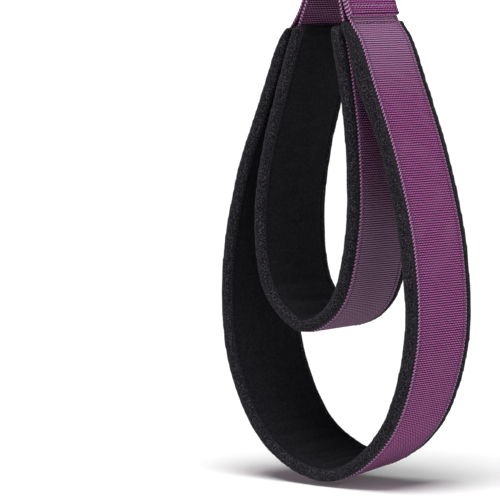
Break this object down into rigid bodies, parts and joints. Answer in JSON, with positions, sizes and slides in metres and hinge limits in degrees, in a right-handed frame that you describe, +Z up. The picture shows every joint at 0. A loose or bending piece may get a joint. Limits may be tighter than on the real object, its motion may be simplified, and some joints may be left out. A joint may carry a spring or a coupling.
{
  "type": "stretching strap",
  "caption": "Padded double-loop stretching strap: a short hand loop hangs inside a long leg loop, both sewn from ribbed webbing onto a D-ring.",
  "frame": {"origin": "the point inside the crown of the D-ring where a hook bears", "axes": "+Z up along the hanging strap, +Y across the width of the webbing towards its far edge, +X to the side of the tail's leg"},
  "size_m": [0.1689, 0.064, 0.4455],
  "materials": {
    "steel": "plated, polished",
    "webbing": "woven, ribbed",
    "cover": "brushed fleece",
    "foam": "open-cell, matte",
    "webbing_thread": "bonded thread",
    "cover_thread": "bonded thread"
  },
  "bodies": {
    "ring": {"d_ring": "steel"},
    "long_loop": {"long_webbing": "webbing", "long_cover": "cover", "long_foam": "foam", "long_seam_near": "webbing_thread", "long_seam_far": "webbing_thread", "long_bobbin_near": "cover_thread", "long_bobbin_far": "cover_thread", "long_end_seam_left": "webbing_thread", "long_end_seam_right": "webbing_thread", "short_end_left": "webbing", "short_end_right": "webbing", "head_stitch_left": "webbing_thread", "head_stitch_right": "webbing_thread", "tail_tack": "webbing_thread"},
    "short_loop": {"short_webbing": "webbing", "short_cover": "cover", "short_foam": "foam", "short_seam_near": "webbing_thread", "short_seam_far": "webbing_thread", "short_bobbin_near": "cover_thread", "short_bobbin_far": "cover_thread", "short_end_seam_left": "webbing_thread", "short_end_seam_right": "webbing_thread"}
  },
  "joints": [
    {"name": "ring_swing", "type": "hinge", "parent": "ring", "child": "long_loop", "pos_m": [0, 0, -0.0325], "axis": [0, 1, 0], "range_deg": [-150, 150]},
    {"name": "short_side_swing", "type": "hinge", "parent": "long_loop", "child": "short_loop", "pos_m": [0, 0, -0.072], "axis": [1, 0, 0], "range_deg": [-6, 6]}
  ]
}
